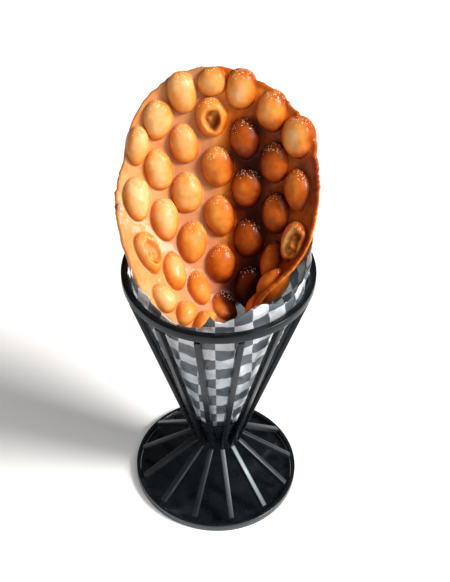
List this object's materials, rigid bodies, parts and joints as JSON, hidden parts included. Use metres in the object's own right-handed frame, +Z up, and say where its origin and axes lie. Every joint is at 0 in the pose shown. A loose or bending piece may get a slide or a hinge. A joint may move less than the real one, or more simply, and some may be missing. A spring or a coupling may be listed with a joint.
{
  "type": "bubble waffle in a cone stand",
  "caption": "Bubble waffle rolled into an open scoop, in a checked paper liner, standing in a black wire cone stand on a round base.",
  "frame": {"origin": "centre of the stand's base, on the surface it stands on", "axes": "+Z up along the stand; -Y towards the open side of the waffle, as the picture sees it; +X to the right in the picture"},
  "size_m": [0.1426, 0.1521, 0.3271],
  "materials": {
    "baked_batter": "baked egg batter, satin",
    "liner_paper": "checked greaseproof paper",
    "coated_steel": "satin black powder coat"
  },
  "bodies": {
    "root": {"waffle": "baked_batter", "paper_liner": "liner_paper", "top_ring": "coated_steel", "neck_cup": "coated_steel", "base_plate": "coated_steel", "base_rim": "coated_steel", "bar_01": "coated_steel", "bar_02": "coated_steel", "bar_03": "coated_steel", "bar_04": "coated_steel", "bar_05": "coated_steel", "bar_06": "coated_steel", "bar_07": "coated_steel", "bar_08": "coated_steel", "bar_09": "coated_steel", "bar_10": "coated_steel", "bar_11": "coated_steel", "bar_12": "coated_steel", "bar_13": "coated_steel", "bar_14": "coated_steel", "spoke_01": "coated_steel", "spoke_02": "coated_steel", "spoke_03": "coated_steel", "spoke_04": "coated_steel", "spoke_05": "coated_steel", "spoke_06": "coated_steel", "spoke_07": "coated_steel", "spoke_08": "coated_steel", "spoke_09": "coated_steel", "spoke_10": "coated_steel", "spoke_11": "coated_steel", "spoke_12": "coated_steel", "spoke_13": "coated_steel"}
  },
  "joints": []
}
